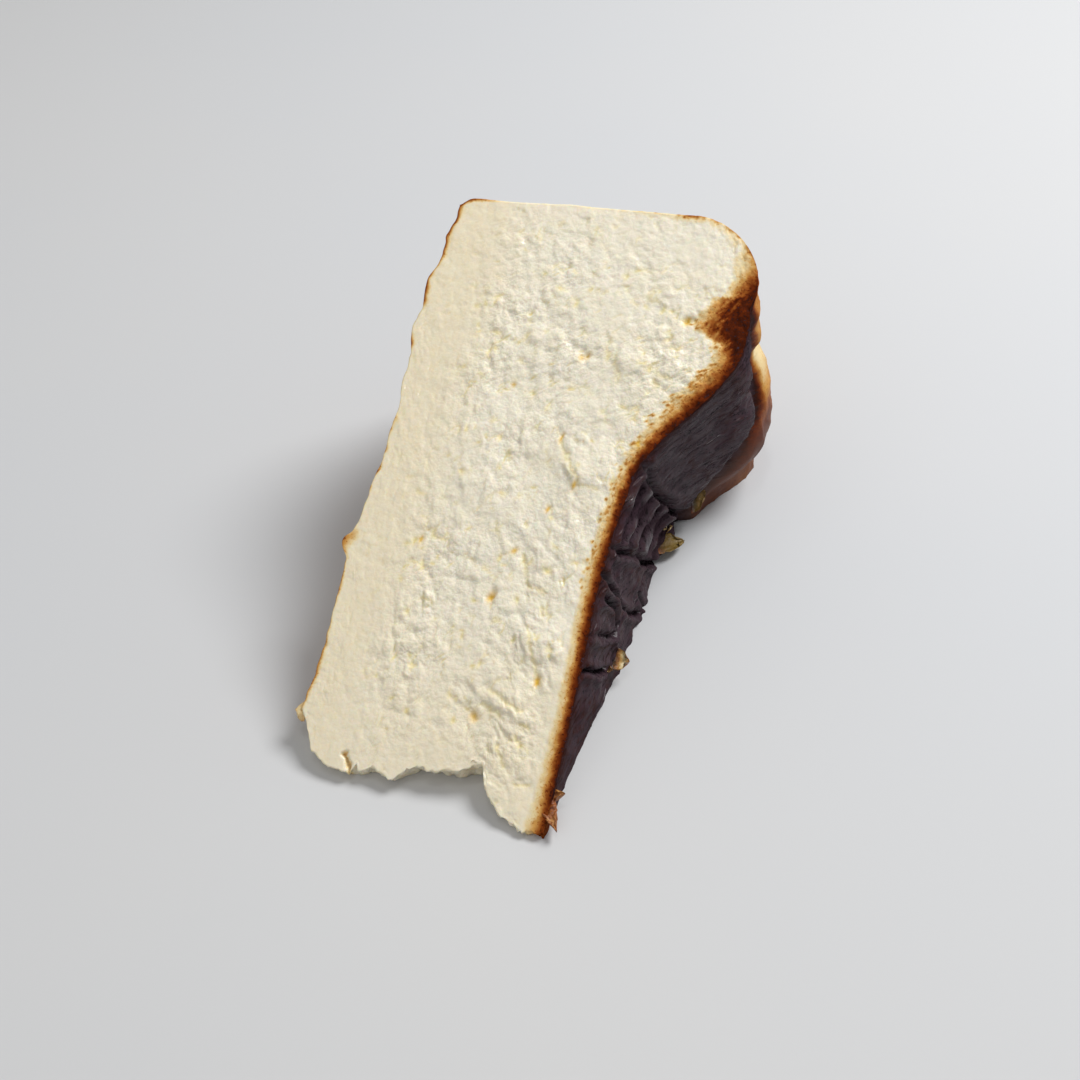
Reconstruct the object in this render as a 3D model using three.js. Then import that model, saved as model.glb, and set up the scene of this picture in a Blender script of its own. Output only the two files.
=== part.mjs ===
// A slice of burnt Basque cheesecake, lying on one of its two cut faces.
// Millimetres and degrees. +X runs up the cake from its base to its burnt top, +Y runs
// from the slice's tip out to the cake's rim, +Z is up. The origin is the middle of the
// slice's bounding box, on the surface that it lies on.
import * as THREE from "three";
import { mergeVertices } from "three/addons/utils/BufferGeometryUtils.js";

const { lerp, smoothstep, clamp, degToRad } = THREE.MathUtils;

// Driving dimensions of the whole cake. Where a size differs from one cut to the other,
// it is given at the lower cut, which the slice lies on, and at the upper cut.
const SLICE_ANGLE = 30; // one of twelve
const BASE_RADIUS = 112.6;
const SHOULDER_RADIUS = 116; // the side leans out towards the rim
const SHOULDER_HEIGHT = 45; // where the side starts to round over
const SIDE_LEAN_POWER = 0.8; // the side leans out more near the base
const LIP_RADIUS = 101; // the highest line of the rim
const LIP_HEIGHT = { lower: 59.4, upper: 58.6 };
const LIP_LOBE = { angle: 9.5, spread: 6, rise: 2.8 }; // the lip swells between two creases
const CENTRE_HEIGHT = 46;
const CENTRE_SWELL = { lower: 1.6, upper: -1.6, radius: 47, spread: 20 };

// The skin climbs from the sunken centre to the rim, and folds in on itself inside the lip. The
// fold turns in towards the centre between two angles above the lower cut, and near the upper
// cut only a share of its depth is left.
const CLIMB_START = { lower: 70, upper: 64 };
const CLIMB_END = { lower: 100, upper: 92 };
const FOLD_RADIUS = { lower: 81, upper: 100 };
const FOLD_TURN = { from: 2, to: 18 };
const FOLD_DEPTH = 2.6;
const FOLD_WIDTH = 2.4;
const FOLD_FADE = { from: 19, to: 27, left: 0.25 };
const SAG = { radius: 91, width: 9, turn: 3.5, depth: 2.6 }; // the lip's low lobe, above the lower cut

// Where the upper cut passes the fold, the crumb has split open
const SPLIT = { radius: 99, height: 57, lean: 0.42, length: 10, depth: 0.6, width: 1.5 };

// Cracks that cross the burnt skin
const CRACKS = [
  { lower: 79, upper: 68, depth: 1.5 },
  { lower: 64, upper: 53, depth: 1.3 },
  { lower: 45, upper: 38, depth: 1.1 },
  { lower: 37, upper: 30, depth: 0.9 },
];
const CRACK_WIDTH = 1.6;
const CRACK_WANDER = { reach: 1.2, turn: 14 }; // degrees from one bend to the next but one

// Ridges that run outwards between the cracks, a little snaking
const RIDGE = { angle: 7.2, height: 0.6, from: 30, full: 44, fade: 66, to: 72 };
const RIDGE_SNAKE = { reach: 1.1, length: 44 };

// Torn flakes of skin that stand out from the top: radius, angle above the lower cut, reach
const FLAKES = [
  [73, 2, 2.2],
  [40.5, 5, 1.8],
  [8, 16, 1.6],
];
const FLAKE_WIDTH = 2.6;

// Creases that crumpled baking paper pressed into the side: angle above the lower cut, depth
const PAPER_CREASES = [
  [3, 1.6],
  [11, 0.7],
  [17.5, 2],
  [22.5, 0.8],
  [27, 1.2],
];
const CREASE_WIDTH = 1.7; // degrees
const CREASE_LEAN = 2; // degrees to one side or the other, from top to base
const CREASE_FOOT = 0.35; // share of a crease's depth that is left at the base
const CREASE_PULL = 0.8; // share of a crease's depth that the lip is pulled down
const BASE_EDGE_ROUND = 1.4;

// The paper also left the base wavy, with scallops that deepen towards the rim and towards
// the upper cut. Near the rim it bulges down, and a scrap of its skin sticks out at the upper cut.
const BASE_WAVE = { height: 0.4, length: 41, turn: 44 };
const SCALLOP = { height: 0.4, length: 10, sway: 3, turn: 25, from: 40, to: 85, left: 0.4 };
const BASE_BULGE = { radius: 93, spread: 13, depth: 1.2 };
const BASE_SCRAP = { radius: 43, reach: 1.7, width: 2, steepness: 4 };
const BASE_LEVEL_FROM = 0.95; // share of the way out to the side where the waves die away

// The thin tip has broken off unevenly: height above the base, distance from the cake's axis
const BROKEN_TIP = [
  [0, 13],
  [2, 10.2],
  [4.2, 6.3],
  [8, 4.5],
  [13, 4.3],
  [15.3, 6.3],
  [18.8, 4.7],
  [22, 8],
  [29.5, 8.6],
  [31.2, 10.3],
  [33.4, 10.8],
  [34.6, 7.7],
  [38, 4.2],
  [42, 2.2],
  [46, 2.8],
];
const TIP_UNDERCUT = 1.4; // the break slopes back underneath

// Lumps and hollows that the knife tore in the upper cut: distance from the cake's axis,
// height above the base, width and rise
const TORN_CRUMB = [
  [64.5, 36, 3.6, 0.9],
  [84.5, 40, 3.6, 0.7],
  [41, 19, 5.5, -0.7],
  [40, 32, 3.6, -0.6],
  [33, 36.5, 3.4, 0.7],
  [22, 34, 3, 0.6],
  [19, 29, 3, -0.6],
  [58, 19, 6, 0.45],
  [78, 21, 5, -0.5],
  [93, 32, 6, 0.4],
  [62, 28, 4, -0.5],
];
const CURD = { height: 0.22, length: 10, sway: 3, swayLength: 30 }; // small ones all over the cut
const CURD_FADE = { tip: [5, 16], rim: [96, 108], base: [-8, 14], left: 0.3 };

// Steps of the surface up the cake, out to the rim and across the slice. They lie closer
// together near the edges.
const STEPS = { height: 19, length: 56, angle: 19 };
const CROWDING = { height: 0.4, length: 0.3, angle: 0.25 };

const CREAM = 0xe3d9ba;

const across = (size, c) => lerp(size.lower, size.upper, c);
const bump = (distance, width) => Math.exp(-((distance / width) ** 2));
const wave = (along, length, start = 0) => Math.sin((2 * Math.PI * along) / length + start);

// Distance of the broken tip from the cake's axis, at a height above the base
function tipRadius(height, c) {
  const next = Math.max(1, BROKEN_TIP.findIndex(([h]) => h >= height));
  const [h0, r0] = BROKEN_TIP[next - 1];
  const [h1, r1] = BROKEN_TIP[next];
  const undercut = TIP_UNDERCUT * (1 - c) * Math.sin((Math.PI * height) / CENTRE_HEIGHT);
  return lerp(r0, r1, (height - h0) / (h1 - h0)) + undercut;
}

// The base, with the waves that the paper left and the scrap at its upper edge
function baseHeight(r, angle, c) {
  const swayed = r + SCALLOP.sway * wave(angle, SCALLOP.turn);
  const scalloped = SCALLOP.height * smoothstep(r, SCALLOP.from, SCALLOP.to) * lerp(SCALLOP.left, 1, c);
  let height = BASE_WAVE.height * wave(r, BASE_WAVE.length, (2 * Math.PI * angle) / BASE_WAVE.turn);
  height += scalloped * wave(swayed, SCALLOP.length);
  height -= BASE_BULGE.depth * bump(r - BASE_BULGE.radius, BASE_BULGE.spread);
  const scrap = BASE_SCRAP.reach * bump(r - BASE_SCRAP.radius, BASE_SCRAP.width);
  return height - scrap * c ** BASE_SCRAP.steepness;
}

// Cracks, ridges and flakes in the burnt skin
function skinRelief(r, angle, c) {
  let relief = 0;
  for (const crack of CRACKS) {
    const wander = CRACK_WANDER.reach * wave(angle, CRACK_WANDER.turn, crack.upper);
    relief -= crack.depth * bump(r - across(crack, c) - wander, CRACK_WIDTH);
  }
  for (const [radius, flakeAngle, reach] of FLAKES) {
    const away = Math.hypot(r - radius, degToRad(angle - flakeAngle) * radius);
    relief += reach * bump(away, FLAKE_WIDTH);
  }
  const ridged = smoothstep(r, RIDGE.from, RIDGE.full) - smoothstep(r, RIDGE.fade, RIDGE.to);
  const snaking = angle + RIDGE_SNAKE.reach * wave(r, RIDGE_SNAKE.length);
  return relief + RIDGE.height * ridged * wave(snaking, RIDGE.angle);
}

// How far the creases of the paper pull the side in, deeper towards the top. Each leans its
// own way further down.
function creaseDepth(height, angle) {
  const down = 1 - height / LIP_HEIGHT.upper;
  let depth = 0;
  for (const [creaseAngle, full] of PAPER_CREASES) {
    const lean = CREASE_LEAN * down * Math.sin(creaseAngle);
    depth += full * bump(angle - creaseAngle - lean, CREASE_WIDTH);
  }
  return depth * lerp(1, CREASE_FOOT, down);
}

// The lip swells between the creases of the paper, which also pull it down
function lipHeight(angle, c) {
  const lobe = LIP_LOBE.rise * bump(angle - LIP_LOBE.angle, LIP_LOBE.spread);
  return across(LIP_HEIGHT, c) + lobe - CREASE_PULL * creaseDepth(LIP_HEIGHT.upper, angle);
}

// The burnt top: sunken centre, climb, fold, lip and the sag of its low lobe
function topHeight(r, angle, c) {
  const rounding = Math.max(0, r - LIP_RADIUS) / (SHOULDER_RADIUS - LIP_RADIUS);
  const rim = lerp(SHOULDER_HEIGHT, lipHeight(angle, c), Math.sqrt(1 - rounding ** 2));
  const swell = across(CENTRE_SWELL, c) * bump(r - CENTRE_SWELL.radius, CENTRE_SWELL.spread);
  const climb = smoothstep(r, across(CLIMB_START, c), across(CLIMB_END, c));
  const turned = smoothstep(angle, FOLD_TURN.from, FOLD_TURN.to);
  const depth = FOLD_DEPTH * lerp(1, FOLD_FADE.left, smoothstep(angle, FOLD_FADE.from, FOLD_FADE.to));
  const fold = depth * bump(r - across(FOLD_RADIUS, turned), FOLD_WIDTH);
  const sag = SAG.depth * bump(r - SAG.radius, SAG.width) * bump(angle, SAG.turn);
  return lerp(CENTRE_HEIGHT + swell, rim, climb) - fold - sag + skinRelief(r, angle, c);
}

// The four curves round a section of the cake at one angle, as points of radius and height.
// The side and the top meet half-way round the rim.
const MEET_ANGLE = Math.PI / 4;
const MEET_RADIUS = LIP_RADIUS + (SHOULDER_RADIUS - LIP_RADIUS) * Math.cos(MEET_ANGLE);
const SIDE_SHARE = 0.8; // of the side's steps lie below the rounding

function sidePoint(a, angle, c) {
  if (a > SIDE_SHARE) {
    const turned = (a - SIDE_SHARE) / (1 - SIDE_SHARE);
    const r = lerp(LIP_RADIUS, SHOULDER_RADIUS, Math.cos(MEET_ANGLE * turned));
    const height = lerp(SHOULDER_HEIGHT, lipHeight(angle, c), Math.sin(MEET_ANGLE * turned));
    return new THREE.Vector2(r - creaseDepth(height, angle) * (1 - turned ** 2), height);
  }
  const height = (SHOULDER_HEIGHT * a) / SIDE_SHARE;
  const lean = lerp(BASE_RADIUS, SHOULDER_RADIUS, (height / SHOULDER_HEIGHT) ** SIDE_LEAN_POWER);
  const edge = BASE_EDGE_ROUND * bump(height, BASE_EDGE_ROUND);
  return new THREE.Vector2(lean - edge - creaseDepth(height, angle), height);
}

function tipPoint(a, angle, c) {
  const r = tipRadius(a * CENTRE_HEIGHT, c);
  return new THREE.Vector2(r, lerp(baseHeight(r, angle, c), topHeight(r, angle, c), a));
}

function basePoint(b, angle, c) {
  const r = lerp(tipRadius(0, c), sidePoint(0, angle, c).x, b);
  return new THREE.Vector2(r, baseHeight(r, angle, c) * (1 - smoothstep(b, BASE_LEVEL_FROM, 1)));
}

function topPoint(b, angle, c) {
  const r = lerp(tipRadius(CENTRE_HEIGHT, c), MEET_RADIUS, b);
  return new THREE.Vector2(r, topHeight(r, angle, c));
}

// A section is filled between its four curves: a runs from base to top, b from tip to side
function sectionPoint(a, b, angle, c) {
  const upwards = basePoint(b, angle, c).lerp(topPoint(b, angle, c), a);
  const outwards = tipPoint(a, angle, c).lerp(sidePoint(a, angle, c), b);
  const alongBase = basePoint(0, angle, c).lerp(basePoint(1, angle, c), b);
  const alongTop = topPoint(0, angle, c).lerp(topPoint(1, angle, c), b);
  return upwards.add(outwards).sub(alongBase.lerp(alongTop, a));
}

// Rise of the torn crumb on the upper cut
function crumbRise(r, height) {
  const swayedOut = r + CURD.sway * wave(height, CURD.swayLength);
  const swayedUp = height + CURD.sway * wave(r, CURD.swayLength);
  const small = wave(swayedOut, CURD.length) + wave(swayedUp, CURD.length);
  const curds = small + wave(r + height, 2 * CURD.length);
  const smoothed = lerp(1, CURD_FADE.left, smoothstep(r, ...CURD_FADE.rim));
  let rise = CURD.height * curds * smoothed * smoothstep(height, ...CURD_FADE.base);
  for (const [radius, up, width, full] of TORN_CRUMB) {
    rise += full * bump(Math.hypot(r - radius, height - up), width);
  }
  const below = clamp(SPLIT.height - height, 0, SPLIT.length);
  const beside = Math.hypot(r - SPLIT.radius + SPLIT.lean * below, SPLIT.height - height - below);
  rise -= SPLIT.depth * bump(beside, SPLIT.width);
  return rise * smoothstep(r, ...CURD_FADE.tip);
}

// A box whose six sides become the base, the burnt top, the broken tip, the side of the
// cake and the two cut faces
function cheesecakeSlice() {
  const crowded = (t, crowding) => t - (crowding * Math.sin(2 * Math.PI * t)) / (2 * Math.PI);
  const geometry = new THREE.BoxGeometry(1, 1, 1, STEPS.height, STEPS.length, STEPS.angle);
  const position = geometry.getAttribute("position");
  for (let i = 0; i < position.count; i++) {
    const a = crowded(position.getX(i) + 0.5, CROWDING.height);
    const b = crowded(position.getY(i) + 0.5, CROWDING.length);
    const c = crowded(position.getZ(i) + 0.5, CROWDING.angle);
    const { x: r, y: height } = sectionPoint(a, b, c * SLICE_ANGLE, c);
    const turn = c * (degToRad(SLICE_ANGLE) + crumbRise(r, height) / r);
    position.setXYZ(i, height, r * Math.cos(turn), r * Math.sin(turn));
  }
  geometry.deleteAttribute("normal");
  geometry.deleteAttribute("uv");
  const solid = mergeVertices(geometry, 1e-4);
  solid.computeBoundingBox();
  const middle = solid.boundingBox.getCenter(new THREE.Vector3());
  solid.translate(-middle.x, -middle.y, 0);
  solid.computeVertexNormals();
  return solid;
}

const baked = new THREE.MeshStandardMaterial({ color: CREAM, roughness: 0.6, metalness: 0 });
const slice = new THREE.Mesh(cheesecakeSlice(), baked);
slice.name = "cheesecake_slice";

const cake = new THREE.Group();
cake.add(slice);

export default cake;
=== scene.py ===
# A slice of burnt Basque cheesecake, lying on one of its two cut faces. Shapes are worked out in
# millimetres, in the cake's own measures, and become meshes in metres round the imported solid.
import itertools
import math

import bpy
import numpy as np
from mathutils import Matrix, Vector
from mathutils.geometry import delaunay_2d_cdt


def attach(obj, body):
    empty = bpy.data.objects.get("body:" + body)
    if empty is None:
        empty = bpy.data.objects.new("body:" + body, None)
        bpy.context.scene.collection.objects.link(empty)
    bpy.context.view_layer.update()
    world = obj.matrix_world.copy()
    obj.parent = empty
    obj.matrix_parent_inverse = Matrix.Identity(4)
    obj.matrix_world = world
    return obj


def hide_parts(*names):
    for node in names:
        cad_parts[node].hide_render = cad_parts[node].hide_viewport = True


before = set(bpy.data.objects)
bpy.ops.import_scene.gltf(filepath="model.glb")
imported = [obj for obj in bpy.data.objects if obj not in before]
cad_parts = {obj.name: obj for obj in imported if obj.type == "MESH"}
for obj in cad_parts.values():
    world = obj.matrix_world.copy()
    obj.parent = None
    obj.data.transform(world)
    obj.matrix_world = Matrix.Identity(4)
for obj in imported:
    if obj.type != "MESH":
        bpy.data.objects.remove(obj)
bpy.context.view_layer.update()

# The cake's form
# One baked batter of cream cheese, eggs and cream, poured into a tin lined with crumpled paper. It
# rose at the rim, sank in the middle as it cooled, and was cut in twelve.

# A place in the cake is a height above the base, a distance r from the cake's axis and an angle in
# degrees above the lower cut, and c is the share of the way from that cut to the upper one. A pair
# of sizes is at the lower cut and at the upper one, and further on it is where a ramp starts and
# ends, or else its comment says what it is.
SLICE_ANGLE = 30
BASE_RADIUS = 112.6
SHOULDER_RADIUS = 116
SHOULDER_HEIGHT = 45
SIDE_LEAN_POWER = 0.8  # the side leans out more near the base
LIP_RADIUS = 101
LIP_HEIGHT = (59.4, 58.6)
LOBE_ANGLE = 9.5
LOBE_SPREAD = 6
LOBE_RISE = 2.8
CENTRE_HEIGHT = 46
SWELL_HEIGHT = (1.6, -1.6)
SWELL_RADIUS = 47
SWELL_SPREAD = 20
CLIMB_START = (70, 64)
CLIMB_END = (100, 92)
FOLD_RADIUS = (81, 100)
FOLD_TURN = (2, 18)  # angles between which it runs outwards
FOLD_DEPTH = 2.6
FOLD_WIDTH = 2.4
FOLD_FADE = (19, 27)  # angles between which it grows shallow
FOLD_LEFT = 0.25  # share of its depth left at the upper cut
SAG_DEPTH = 2.6  # of the low lobe, above the lower cut
SAG_RADIUS = 91
SAG_WIDTH = 9
SAG_TURN = 3.5
PAPER_CREASES = {3: 1.6, 11: 0.7, 17.5: 2, 22.5: 0.8, 27: 1.2}  # angle and depth
CREASE_WIDTH = 1.7
CREASE_LEAN = 2
CREASE_FOOT = 0.35  # share of a crease's depth left at the base
CREASE_PULL = 0.8  # share of a crease's depth by which it draws the lip down
BASE_EDGE_ROUND = 1.4
BASE_WAVE = 0.4
BASE_WAVE_LENGTH = 41
BASE_WAVE_TURN = 44
SCALLOP = 0.4
SCALLOP_LENGTH = 10
SCALLOP_SWAY = 3
SCALLOP_TURN = 25
SCALLOP_GROWTH = (40, 85)  # radii between which they grow
SCALLOP_LEFT = 0.4  # share of their depth left at the lower cut
BULGE_DEPTH = 1.2
BULGE_RADIUS = 93
BULGE_SPREAD = 13
SCRAP_RADIUS = 43
SCRAP_REACH = 1.7
SCRAP_WIDTH = 2
SCRAP_STEEPNESS = 4
BASE_LEVEL_FROM = 0.95  # share of the way out to the side where the waves die away
TIP_HEIGHTS = (0, 2, 4.2, 8, 13, 15.3, 18.8, 22, 29.5, 31.2, 33.4, 34.6, 38, 42, 46)
TIP_RADII = (13, 10.2, 6.3, 4.5, 4.3, 6.3, 4.7, 8, 8.6, 10.3, 10.8, 7.7, 4.2, 2.2, 2.8)
TIP_UNDERCUT = 1.4
MEET_ANGLE = math.pi / 4  # the side and the top meet half-way round the rim
SIDE_SHARE = 0.8  # of the side's steps lie below that rounding
ORIGIN_HEIGHT = 29.977  # the solid's origin is the middle of its box
ORIGIN_RADIUS = 58.988
MM = 0.001


def lerp(low, high, share):
    return low + (high - low) * share


def ramp(x, low, high):
    """A smooth climb from 0 to 1."""
    t = np.clip((x - low) / (high - low), 0, 1)
    return t * t * (3 - 2 * t)


def bump(distance, width):
    """A smooth hill, 1 at its middle."""
    return np.exp(-((distance / width) ** 2))


def wave(along, length, start=0):
    return np.sin(2 * np.pi * along / length + start)


def tip_radius(height, c):
    undercut = TIP_UNDERCUT * (1 - c) * np.sin(np.pi * height / CENTRE_HEIGHT)
    return np.interp(height, TIP_HEIGHTS, TIP_RADII) + undercut


def base_height(r, angle, c):
    swayed = r + SCALLOP_SWAY * wave(angle, SCALLOP_TURN)
    scallop = SCALLOP * ramp(r, *SCALLOP_GROWTH) * lerp(SCALLOP_LEFT, 1, c)
    height = BASE_WAVE * wave(r, BASE_WAVE_LENGTH, 2 * np.pi * angle / BASE_WAVE_TURN)
    height = height + scallop * wave(swayed, SCALLOP_LENGTH)
    height = height - BULGE_DEPTH * bump(r - BULGE_RADIUS, BULGE_SPREAD)
    return height - SCRAP_REACH * bump(r - SCRAP_RADIUS, SCRAP_WIDTH) * c**SCRAP_STEEPNESS


def crease_depth(height, angle):
    down = 1 - height / LIP_HEIGHT[1]
    depth = 0
    for crease_angle, full in PAPER_CREASES.items():
        lean = CREASE_LEAN * down * math.sin(crease_angle)  # each leans its own way
        depth = depth + full * bump(angle - crease_angle - lean, CREASE_WIDTH)
    return depth * lerp(1, CREASE_FOOT, down)


def lip_height(angle, c):
    lobe = LOBE_RISE * bump(angle - LOBE_ANGLE, LOBE_SPREAD)
    return lerp(*LIP_HEIGHT, c) + lobe - CREASE_PULL * crease_depth(LIP_HEIGHT[1], angle)


def fold_radius(angle):
    return lerp(*FOLD_RADIUS, ramp(angle, *FOLD_TURN))


def top_height(r, angle, c):
    rounding = np.clip((r - LIP_RADIUS) / (SHOULDER_RADIUS - LIP_RADIUS), 0, 1)
    rim = lerp(SHOULDER_HEIGHT, lip_height(angle, c), np.sqrt(1 - rounding**2))
    swell = lerp(*SWELL_HEIGHT, c) * bump(r - SWELL_RADIUS, SWELL_SPREAD)
    climb = ramp(r, lerp(*CLIMB_START, c), lerp(*CLIMB_END, c))
    depth = FOLD_DEPTH * lerp(1, FOLD_LEFT, ramp(angle, *FOLD_FADE))
    fold = depth * bump(r - fold_radius(angle), FOLD_WIDTH)
    sag = SAG_DEPTH * bump(r - SAG_RADIUS, SAG_WIDTH) * bump(angle, SAG_TURN)
    return lerp(CENTRE_HEIGHT + swell, rim, climb) - fold - sag


def side_point(a, angle, c):
    turned = np.clip((a - SIDE_SHARE) / (1 - SIDE_SHARE), 0, 1)
    wall = np.minimum(a / SIDE_SHARE, 1)
    round_height = lerp(SHOULDER_HEIGHT, lip_height(angle, c), np.sin(MEET_ANGLE * turned))
    height = np.where(turned > 0, round_height, SHOULDER_HEIGHT * wall)
    lean = lerp(BASE_RADIUS, SHOULDER_RADIUS, wall**SIDE_LEAN_POWER)
    edge = BASE_EDGE_ROUND * bump(SHOULDER_HEIGHT * wall, BASE_EDGE_ROUND)
    rounded = (SHOULDER_RADIUS - LIP_RADIUS) * (1 - np.cos(MEET_ANGLE * turned))
    r = lean - edge - rounded - crease_depth(height, angle) * (1 - turned**2)
    return np.array((r, height))


def tip_point(a, angle, c):
    r = tip_radius(a * CENTRE_HEIGHT, c)
    return np.array((r, lerp(base_height(r, angle, c), top_height(r, angle, c), a)))


def base_point(b, angle, c):
    r = lerp(tip_radius(0, c), side_point(0 * b, angle, c)[0], b)
    return np.array((r, base_height(r, angle, c) * (1 - ramp(b, BASE_LEVEL_FROM, 1))))


def top_point(b, angle, c):
    meet_radius = LIP_RADIUS + (SHOULDER_RADIUS - LIP_RADIUS) * math.cos(MEET_ANGLE)
    r = lerp(tip_radius(CENTRE_HEIGHT, c), meet_radius, b)
    return np.array((r, top_height(r, angle, c)))


def section_point(a, b, angle, c):
    """Radius and height, between the section's four curves: a from base to top, b from tip to side."""
    start = 0 * b
    upwards = lerp(base_point(b, angle, c), top_point(b, angle, c), a)
    outwards = lerp(tip_point(a, angle, c), side_point(a, angle, c), b)
    along_base = lerp(base_point(start, angle, c), base_point(start + 1, angle, c), b)
    along_top = lerp(top_point(start, angle, c), top_point(start + 1, angle, c), b)
    return upwards + outwards - lerp(along_base, along_top, a)


def box_surface(steps):
    """The steps of each point on a box's surface, and the number of each of those points."""
    place = np.stack(np.meshgrid(*[np.arange(n + 1) for n in steps], indexing="ij"), -1)
    on_surface = np.any((place == 0) | (place == steps), axis=-1)
    number = np.full(on_surface.shape, -1)
    number[on_surface] = np.arange(on_surface.sum())
    return place[on_surface], number


# The surface is that of a box of small steps from base to top, from tip to side and from the
# lower cut to the upper one, which lie closer together near its edges.
STEPS = np.array((190, 290, 100))
CROWDING = (0.3, 0.2, 0.3)

place, number = box_surface(STEPS)
even = [np.linspace(0, 1, steps + 1) for steps in STEPS]
shares = [t - k * np.sin(2 * np.pi * t) / (2 * np.pi) for t, k in zip(even, CROWDING)]
a, b, c = (share[place[:, i]] for i, share in enumerate(shares))
on_base = place[:, 0] == 0
on_top, on_side, on_upper = (place == STEPS).T
angle = c * SLICE_ANGLE
r, height = section_point(a, b, angle, c)
turn = np.radians(angle)

thickness = top_height(r, angle, c) - base_height(r, angle, c)
below_top = (1 - a) * thickness
above_base = a * thickness
from_tip = b * (SHOULDER_RADIUS - tip_radius(CENTRE_HEIGHT * a, c))
from_side = (1 - b) * SHOULDER_RADIUS
below_cut = (1 - c) * math.radians(SLICE_ANGLE) * r


# The torn crumb
# Set custard full of small soft curds, pale cream and moist. The knife dragged through it and tore
# lumps, ledges, grooves and pits out of the upper cut, and the tip broke off.
TORN_LUMPS = [  # r, height, width, rise
    (64.5, 36, 3.6, 0.5), (84.5, 40, 3.6, 0.35), (41, 19, 5.5, -0.4), (40, 32, 3.6, -0.3),
    (33, 36.5, 3.4, 0.4), (22, 34, 3, 0.4), (19, 29, 3, -0.3), (58, 19, 6, 0.3), (78, 21, 5, -0.3),
    (93, 32, 6, 0.25), (62, 28, 4, -0.3),
]
LEDGES = [  # r, height, direction that the scarp faces in degrees from the tip, size, rise
    (64.8, 37.2, 50, 3.2, 0.55), (86, 40.5, 95, 3.2, 0.3), (23, 35, 10, 2.4, 0.3),
    (33.5, 37, 60, 2.6, 0.35), (44, 22, 0, 2.4, 0.3), (24.5, 30, 50, 2.2, 0.3),
]
LEDGE_RAMP = 2.5  # a ledge rises over this many of its sizes, and ends in a scarp
SMALL_LEDGES = 36
GROOVES = [  # r and height of both ends, and depth
    (69.7, 31.3, 66.6, 32.7, 0.25), (66.6, 32.7, 61.6, 36.5, 0.2), (61.6, 36.5, 61.5, 39.7, 0.125),
    (86.6, 36.6, 82, 38.2, 0.175), (84.8, 44.4, 83.9, 46.9, 0.15), (47.6, 30.3, 42.5, 32.4, 0.2),
    (42.5, 32.4, 41.9, 35.5, 0.175), (44.1, 24.2, 42.6, 26.6, 0.175),
    (35.2, 34.4, 26.9, 38.5, 0.15), (23.7, 31, 21, 37.2, 0.25), (21, 30.5, 19.5, 34.4, 0.225),
    (17.3, 37.2, 16.1, 38.6, 0.175), (14.8, 34.9, 11.8, 37, 0.175), (9.3, 39.6, 9.8, 41.7, 0.175),
    (95.8, 50.2, 95.1, 46.6, 0.25),
]
GROOVE_WIDTH = 0.34
GROOVE_FLANK = 1.4
SLIT = (7.4, 9.8, 3.4, 11.8)  # r and height of both ends
SLIT_WIDTH = 0.3
SLIT_DEPTH = 1.1
AMBER_PITS = [  # r, height, size
    (78, 20.1, 0.5), (84.9, 30.6, 0.5), (85.4, 31.8, 0.55), (38.9, 26.9, 0.75), (26.4, 38.5, 0.7),
    (18.6, 29.6, 0.75), (46.2, 11.9, 0.55), (71.2, 44.4, 0.5), (47.9, 28.8, 0.5),
    (69.5, 31.4, 0.55), (56.4, 32.4, 0.5), (61.4, 35.9, 0.5), (95.3, 47.6, 0.6),
]
FLECKS = 130
CURD_SIZES = {3.4: 0.3, 1.7: 0.34, 0.9: 0.2}  # and how far they stand out
CURD_TIERS = 0.4  # share of a curd's rise that lifts it as a whole
CURD_DRAG = 1.2  # the knife drew them out
CUT_BENDS = {3: (0.7, 40), 1.3: (0.3, 44)}  # size, how far, and where in the grain it starts
SLANT_HEIGHTS = (20, 32)
SLANT_RADII = (50, 70)
CREVICE_DEPTH = 0.22
CREVICE_WIDTH = 0.16
PARTED_SIZE = 2.6
PARTED_GRAIN = (0.15, 0.5)
LEAST_TORN = 0.28
TORN_HEIGHTS = (4, 16)  # ranges over which the cut becomes more torn, or calmer
TORN_HIGH_TIP = (24, 31)
CALM_LOW_TIP = (16, 28)
CALM_TIP = (5, 16)
CALM_SIDE = (94, 106)
UNDER_CRUST = (2.5, 7)
THIN_CRUST = (45, 60)
CUT_REACH = 2.2  # how deep below the cut its relief moves the slice
LEVEL_TIP = (1.5, 5)
TEAR_SIZES = {3.2: 0.9, 1.4: 0.9, 0.7: 0.4}
TEAR_HEIGHTS = (11, 15)
TEAR_REACH = 2.5
NOTCH_HEIGHT = 12.3
NOTCH_WIDTH = 0.5
NOTCH_DEPTH = 1.8
SEED = 24
GRAIN_CELLS = 256  # after which the grain repeats

chance = np.random.default_rng(SEED)
shuffle = chance.permutation(GRAIN_CELLS)
leanings = chance.normal(size=(GRAIN_CELLS, 3))
leanings /= np.linalg.norm(leanings, axis=1, keepdims=True)


def grain(points, size, start=0):
    """Smooth chance unevenness of one size, from about -1 to 1, at points in millimetres."""
    scaled = points / size + start
    cell = np.floor(scaled).astype(int)
    inside = scaled - cell
    ease = inside**3 * (inside * (inside * 6 - 15) + 10)
    total = 0
    for corner in itertools.product((0, 1), repeat=3):
        x, y, z = ((cell + corner) % GRAIN_CELLS).T
        leaning = leanings[shuffle[(shuffle[(shuffle[x] + y) % GRAIN_CELLS] + z) % GRAIN_CELLS]]
        weight = np.prod(np.where(corner, ease, 1 - ease), axis=1)
        total += weight * np.sum(leaning * (inside - corner), axis=1)
    return total * 1.5


def layers(points, sizes, start):
    """Grain of several sizes, added up. Each size comes with its strength."""
    return sum(full * grain(points, size, start + k) for k, (size, full) in enumerate(sizes.items()))


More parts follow.
